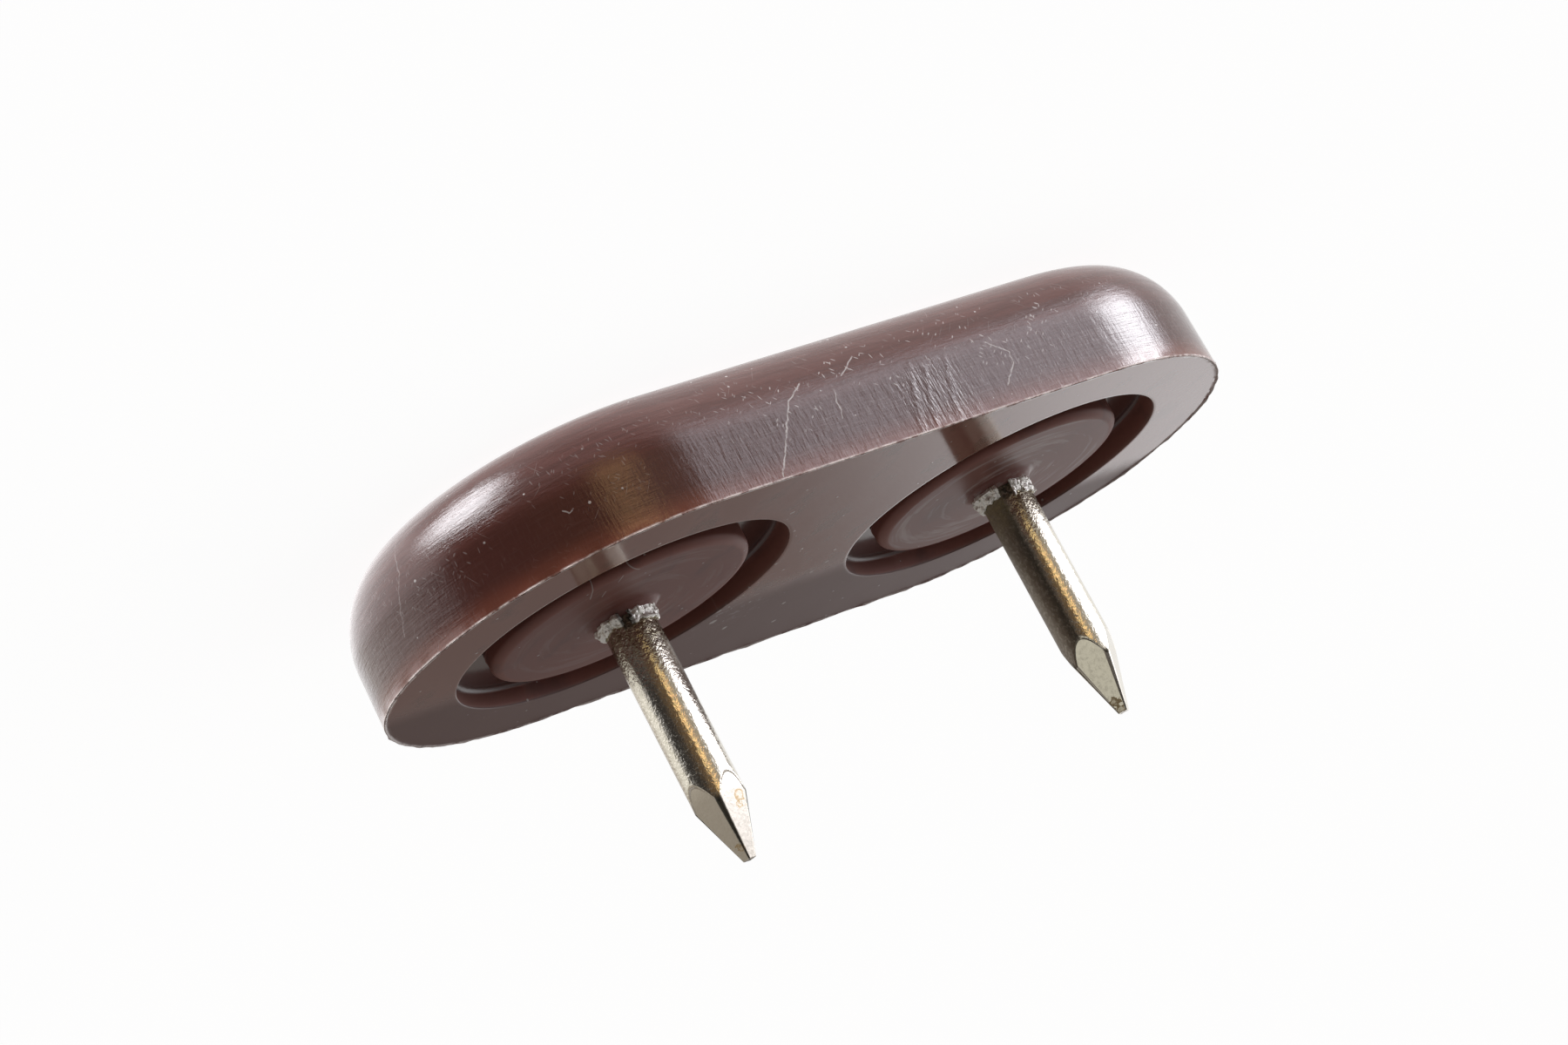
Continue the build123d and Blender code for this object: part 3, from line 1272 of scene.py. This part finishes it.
    def dress(self, piece: bpy.types.Object, finish: BrownPlastic) -> None:
        """Give the body its finish and its place in the frame.

        Args:
            piece: the finished mesh.
            finish: the plastic.
        """
        piece.data.materials.clear()
        piece.data.materials.append(finish.material())
        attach(piece, "root")
        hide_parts("glide_body")


class Side(Enum):
    """The two nails, each with the direction from the middle of the body."""

    LEFT = 1
    RIGHT = -1


@dataclass(frozen=True)
class Lobe:
    """One half of a torn grip collar, in millimetres.

    Attributes:
        radius: its widest radius.
        foot: height at which it is widest.
        top: height at which it ends.
    """

    radius: float
    foot: float
    top: float


@dataclass
class Nail:
    """A wire nail: head in the plastic, torn grip collar, round shank, diamond point. Sizes in millimetres.

    Attributes:
        side: which nail it is.
        point_turn: direction of a ridge of the point, in degrees from +X.
        grip_turn: direction of a notch of the grip collar.
        notch_half: half the angle that a notch leaves open.
        lobes: the two halves of the grip collar.
        sharp_angle: angle from which an edge of the point is rounded, in degrees.
        smooth_angle: angle from which an edge stays sharp, in degrees.
        crumb_grains: grain and depth of each roughening of the lobes.
    """

    side: Side
    point_turn: float
    grip_turn: float
    notch_half: float
    lobes: tuple[Lobe, Lobe]
    spacing: float = 19.2
    shank_radius: float = 1.1
    head_radius: float = 2.5
    head_foot: float = 1.8
    head_top: float = 2.8
    boss_top: float = 5.7
    tip: float = 16.7
    point_length: float = 3.5
    tip_half: float = 0.21
    tip_ridge: float = 0.07
    root_ridge: float = 0.3
    ridge_facets: int = 8
    edge_round: float = 0.03
    sharp_angle: float = 12.5
    smooth_angle: float = 9
    crumb_grains: tuple[Point, Point] = ((0.34, 0.24), (0.13, 0.12))
    steps: int = 96
    shank_steps: int = 24
    lobe_steps: int = 48
    slope_steps: int = 8

    @property
    def axis(self) -> Vector:
        """Place of the nail's axis on the sole, in metres."""
        return Vector((self.side.value * self.spacing / 2 * MM, 0, 0))

    def at(self, out: float, turn: float, up: float) -> Vector:
        """Give a place near the nail.

        Args:
            out: distance from the axis, in millimetres.
            turn: direction, in degrees from +X.
            up: height above the sole, in millimetres.

        Returns:
            The place in metres.
        """
        angle = math.radians(turn)
        return self.axis + Vector((out * math.cos(angle), out * math.sin(angle), up)) * MM

    def wire(self) -> bpy.types.Object:
        """Turn the nail with its head and its plain end.

        Returns:
            The closed shell, in edit mode.
        """
        section = [(0.0, self.head_foot), (self.head_radius, self.head_foot), (self.head_radius, self.head_top)]
        section += [(self.shank_radius, self.head_top), (self.shank_radius, self.boss_top)]
        section += ease((self.shank_radius, self.boss_top), (self.shank_radius, self.tip), self.shank_steps)
        section += [(self.shank_radius, self.tip), (0.0, self.tip)]
        piece = Bench.draw(f"{self.side.name.lower()}_wire_nail", [self.at(out, 0, up) for out, up in section])
        bpy.ops.mesh.spin(steps=self.steps, angle=2 * math.pi, center=self.axis, axis=(0, 0, -1))
        Bench.close()
        return piece

    def grind(self) -> None:
        """Cut the four facets of the point and the narrow facets of its rounded ridges."""
        root_half = self.shank_radius
        for corner in range(4):
            for facet in range(self.ridge_facets + 1):
                lean = 90 * facet / (self.ridge_facets + 1)
                wide = math.cos(math.radians(lean)) + math.sin(math.radians(lean))
                reach = (self.tip_half - self.tip_ridge) * wide + self.tip_ridge
                root = (root_half - self.root_ridge) * wide + self.root_ridge
                turn = self.point_turn - 45 + 90 * corner + lean
                outward = self.at(1.0, turn, 0) - self.at(0.0, turn, 0)
                normal = outward / MM + Vector((0, 0, (root - reach) / self.point_length))
                bpy.ops.mesh.select_all(action="SELECT")
                bpy.ops.mesh.bisect(
                    plane_co=self.at(reach, turn, self.tip),
                    plane_no=normal,
                    use_fill=True,
                    clear_outer=True,
                    threshold=CUT,
                )
        Bench.close()
        bpy.ops.mesh.select_all(action="DESELECT")
        bpy.ops.mesh.select_mode(type="EDGE")
        bpy.ops.mesh.edges_select_sharp(sharpness=math.radians(self.sharp_angle))
        sketch = bmesh.from_edit_mesh(bpy.context.object.data)
        start = (self.tip - self.point_length - 0.1) * MM
        for edge in sketch.edges:
            if min(vertex.co.z for vertex in edge.verts) < start:
                edge.select_set(False)
        bmesh.update_edit_mesh(bpy.context.object.data)
        bpy.ops.mesh.bevel(offset=self.edge_round * MM, segments=2, affect="EDGES", clamp_overlap=True)
        bpy.ops.mesh.select_mode(type="VERT")

    def lobe(self, start: float, lobe: Lobe, name: str) -> bpy.types.Object:
        """Turn one lobe of the grip collar and crumble its surface.

        Args:
            start: direction of the notch that it starts at, in degrees from +X.
            lobe: its sizes.
            name: name of the piece.

        Returns:
            The closed lobe.
        """
        low = self.boss_top
        widest = (lobe.radius, lobe.foot)
        inner = self.shank_radius - 0.12
        section = [(inner, low), (self.shank_radius + 0.06, low), (lobe.radius - 0.04, lobe.foot - 0.1), widest]
        shoulder = (self.shank_radius + 0.11, lobe.top - 0.05)
        section += ease(widest, shoulder, self.slope_steps)
        section += [shoulder, (self.shank_radius + 0.05, lobe.top), (inner, lobe.top), (inner, low)]
        first = start + self.notch_half
        piece = Bench.draw(name, [self.at(out, first, up) for out, up in section])
        sweep = math.radians(180 - 2 * self.notch_half)
        bpy.ops.mesh.spin(steps=self.lobe_steps, angle=sweep, center=self.axis, axis=(0, 0, -1))
        bpy.ops.mesh.select_all(action="SELECT")
        bpy.ops.mesh.remove_doubles(threshold=MERGE)
        bpy.ops.mesh.fill_holes(sides=0)
        bpy.ops.mesh.normals_make_consistent(inside=False)
        crumbs = Bench.group(piece, "crumbs", lambda at: at.z > (self.boss_top + 0.1) * MM)
        for grain, depth in self.crumb_grains:
            Bench.roughen(piece, grain, depth, crumbs)
        return piece

    def build(self) -> bpy.types.Object:
        """Build the nail.

        Returns:
            The finished piece.
        """
        piece = self.wire()
        self.grind()
        Bench.close()
        lobes = [
            self.lobe(self.grip_turn + turn, lobe, f"{piece.name}_lobe") for turn, lobe in zip((0, 180), self.lobes)
        ]
        piece = Bench.join([piece, *lobes])
        Bench.smooth(piece, self.smooth_angle)
        return piece

    def dress(self, piece: bpy.types.Object, finish: NailSteel, metal: bpy.types.Material) -> None:
        """Give the nail its finish and its place in the frame.

        Args:
            piece: the finished mesh.
            finish: the metal's finish; not used.
            metal: its material, shared by both nails.
        """
        piece.data.materials.clear()
        piece.data.materials.append(metal)
        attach(piece, "root")
        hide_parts(f"{self.side.name.lower()}_nail")


class CardKind(Enum):
    """What a card of the studio does to the light from its direction."""

    LAMP = "adds light"
    FLAG = "takes light away"


@dataclass(frozen=True)
class StudioCard:
    """A soft-edged card round the object, placed by its direction in degrees.

    Attributes:
        kind: lamp or flag.
        azimuth: direction from +X towards +Y.
        elevation: height over the horizon.
        half_width: half its width.
        half_height: half its height.
        softness: width of its soft edge.
        light: light that a lamp adds, or share of it that a flag lets through.
    """

    kind: CardKind
    azimuth: float
    elevation: float
    half_width: float
    half_height: float
    softness: float
    light: Colour


@dataclass
class Studio:
    """White sweep, soft lamps and dark flags, pale floor and camera.

    Attributes:
        cards: the lamps and flags, in the order in which they work on the light.
        fill: strength of the sweep for rays that no mirror sent.
        floor_half: half the floor's side, in metres.
        floor_drop: distance of the floor below the sole, in millimetres.
        floor_glow: light that the floor gives.
        camera_place: place of the camera, in millimetres.
        camera_target: place it looks at, in millimetres.
        camera_roll: turn about its line of sight, in degrees.
        lens: focal length.
        sensor: width of the sensor.
        clip: nearest and farthest distance seen, in metres.
    """

    cards: tuple[StudioCard, ...] = (
        StudioCard(CardKind.FLAG, 0.0, 52.0, 220.0, 44.0, 12.0, (0.45, 0.43, 0.42)),
        StudioCard(CardKind.FLAG, 95.0, 10.0, 29.0, 24.0, 9.0, (0.56, 0.52, 0.49)),
        StudioCard(CardKind.FLAG, 55.0, -10.0, 34.0, 9.0, 8.0, (0.86, 0.84, 0.78)),
        StudioCard(CardKind.FLAG, 45.0, 8.0, 50.0, 9.0, 8.0, (0.55, 0.51, 0.45)),
        StudioCard(CardKind.FLAG, 10.0, -9.0, 12.0, 9.0, 8.0, (0.12, 0.11, 0.10)),
        StudioCard(CardKind.FLAG, -54.0, -22.0, 58.0, 21.0, 9.0, (0.04, 0.036, 0.034)),
        StudioCard(CardKind.FLAG, -59.0, 42.0, 46.0, 22.0, 8.0, (0.10, 0.09, 0.08)),
        StudioCard(CardKind.FLAG, -60.0, -64.0, 30.0, 16.0, 14.0, (0.6, 0.6, 0.6)),
        StudioCard(CardKind.FLAG, -59.0, 9.0, 46.0, 12.0, 6.0, (0.35, 0.33, 0.31)),
        StudioCard(CardKind.LAMP, -32.0, 16.0, 9.0, 7.0, 6.0, (0.52, 0.52, 0.45)),
        StudioCard(CardKind.LAMP, 158.0, 14.0, 30.0, 14.0, 8.0, (0.95, 0.95, 0.97)),
        StudioCard(CardKind.LAMP, -70.0, -16.0, 25.0, 14.0, 34.0, (0.12, 0.068, 0.02)),
        StudioCard(CardKind.LAMP, -81.0, -10.0, 4.0, 6.0, 5.0, (1.65, 1.25, 0.60)),
        StudioCard(CardKind.LAMP, -86.0, -25.0, 9.0, 8.0, 5.0, (2.35, 1.38, 0.66)),
        StudioCard(CardKind.LAMP, -103.0, -14.0, 13.0, 13.0, 10.0, (0.33, 0.30, 0.24)),
        StudioCard(CardKind.LAMP, -152.0, -19.0, 11.0, 7.0, 8.0, (12.5, 12.5, 13.0)),
        StudioCard(CardKind.LAMP, -147.0, -13.3, 23.5, 21.0, 9.0, (2.9, 2.85, 3.15)),
        StudioCard(CardKind.LAMP, 8.0, -62.0, 12.0, 13.0, 9.5, (17.5, 17.5, 18.2)),
        StudioCard(CardKind.LAMP, 58.0, -35.0, 46.0, 19.0, 11.0, (0.75, 0.75, 0.77)),
        StudioCard(CardKind.LAMP, -165.0, -56.0, 26.0, 16.0, 16.0, (0.1, 0.1, 0.1)),
    )
    fill: float = 0.7
    floor_half: float = 1.5
    floor_drop: float = 0.02
    floor_glow: float = 0.93
    camera_place: Place = (82.494, -122.793, 42.098)
    camera_target: Place = (2.513, -2.452, 5.0)
    camera_roll: float = 152.017
    lens: float = 85.938
    sensor: float = 36.0
    clip: Point = (0.005, 20.0)

    def light(self) -> None:
        """Wire the world: white for the camera, and for all other rays the sweep with its cards."""
        world = bpy.data.worlds.new("studio")
        bpy.context.scene.world = world
        world.use_nodes = True
        board = Board(world.node_tree)
        glow = world.node_tree.nodes["Background"]
        x, y, z = board.split(board.add("ShaderNodeTexCoord").outputs["Generated"])
        azimuth = board.math("DEGREES", board.math("ARCTAN2", y, x))
        elevation = board.math("DEGREES", board.math("ARCSINE", z))
        rays = board.add("ShaderNodeLightPath")
        seen = board.plus(rays.outputs["Is Camera Ray"], rays.outputs["Is Glossy Ray"])
        seen = board.plus(seen, rays.outputs["Is Transmission Ray"], clamp=True)
        level = board.mix(seen, self.fill, 1.0)
        light = board.vector(level, level, level)
        for card in self.cards:
            middle = (card.azimuth, card.elevation)
            spread = (card.half_width, card.half_height, card.softness)
            seen_card = board.add("ShaderNodeGroup", node_tree=CARD.group())
            mask = board.wire(seen_card, azimuth, elevation, *middle, *spread)
            if card.kind is CardKind.FLAG:
                light = board.vectors("MULTIPLY", light, board.tint(mask, WHITE, card.light))
            else:
                lamp = board.add("ShaderNodeVectorMath", operation="MULTIPLY_ADD")
                light = board.wire(lamp, board.vector(mask, mask, mask), card.light, light)
        board.plug(glow.inputs["Color"], board.tint(rays.outputs["Is Camera Ray"], light, WHITE))

    def floor(self) -> None:
        """Lay the pale floor, a light table that lets light through from below."""
        Bench.put_down()
        bpy.ops.mesh.primitive_plane_add(size=2 * self.floor_half, location=(0, 0, -self.floor_drop * MM))
        floor = bpy.context.object
        floor.name = "studio_floor"
        material = bpy.data.materials.new("pale_floor")
        material.use_nodes = True
        board = Board(material.node_tree)
        shader = material.node_tree.nodes["Principled BSDF"]
        shader.inputs["Base Color"].default_value = (0.2, 0.2, 0.2, 1.0)
        shader.inputs["Roughness"].default_value = 0.9
        shader.inputs["Specular IOR Level"].default_value = 0.0
        shader.inputs["Emission Color"].default_value = (*WHITE, 1.0)
        shader.inputs["Emission Strength"].default_value = self.floor_glow
        under = board.add("ShaderNodeNewGeometry").outputs["Backfacing"]
        clear = board.add("ShaderNodeBsdfTransparent")
        choice = board.add("ShaderNodeMixShader")
        surface = board.wire(choice, under, shader.outputs[0], clear.outputs[0])
        board.plug(material.node_tree.nodes["Material Output"].inputs["Surface"], surface)
        floor.data.materials.append(material)
        floor.visible_diffuse = False
        floor.visible_glossy = False
        floor.visible_transmission = False
        floor.visible_shadow = False

    def camera(self) -> None:
        """Set the camera up as the photograph was taken, turned so that the nails point down."""
        data = bpy.data.cameras.new("camera")
        camera = bpy.data.objects.new("camera", data)
        bpy.context.scene.collection.objects.link(camera)
        place = Vector(self.camera_place) * MM
        aim = Vector(self.camera_target) * MM - place
        level = aim.to_track_quat("-Z", "Y").to_matrix()
        roll = Matrix.Rotation(math.radians(self.camera_roll), 3, "Z")
        camera.matrix_world = (level @ roll).to_4x4()
        camera.location = place
        data.lens = self.lens
        data.sensor_width = self.sensor
        data.clip_start, data.clip_end = self.clip
        bpy.context.scene.camera = camera

    def set_up(self) -> None:
        """Light the studio, lay the floor and set up the camera."""
        bpy.context.scene.view_settings.view_transform = "Standard"
        self.light()
        self.floor()
        self.camera()


def main() -> None:
    """Build the glide, dress it and set up the studio."""
    logging.basicConfig(level=logging.INFO, format="%(message)s")
    body = GlideBody()
    moulding = body.build()
    body.dress(moulding, BrownPlastic())
    log.info("%s: %d faces", moulding.name, len(moulding.data.polygons))
    steel = NailSteel()
    metal = steel.material()
    nails = (
        Nail(Side.LEFT, -59.0, -59.0, 8.0, (Lobe(1.40, 6.04, 6.40), Lobe(1.28, 6.02, 6.48))),
        Nail(Side.RIGHT, -89.0, -60.0, 14.0, (Lobe(1.42, 6.04, 6.5), Lobe(1.25, 6.0, 6.68))),
    )
    for nail in nails:
        piece = nail.build()
        nail.dress(piece, steel, metal)
        log.info("%s: %d faces", piece.name, len(piece.data.polygons))
    Studio().set_up()


if __name__ == "__main__":
    main()
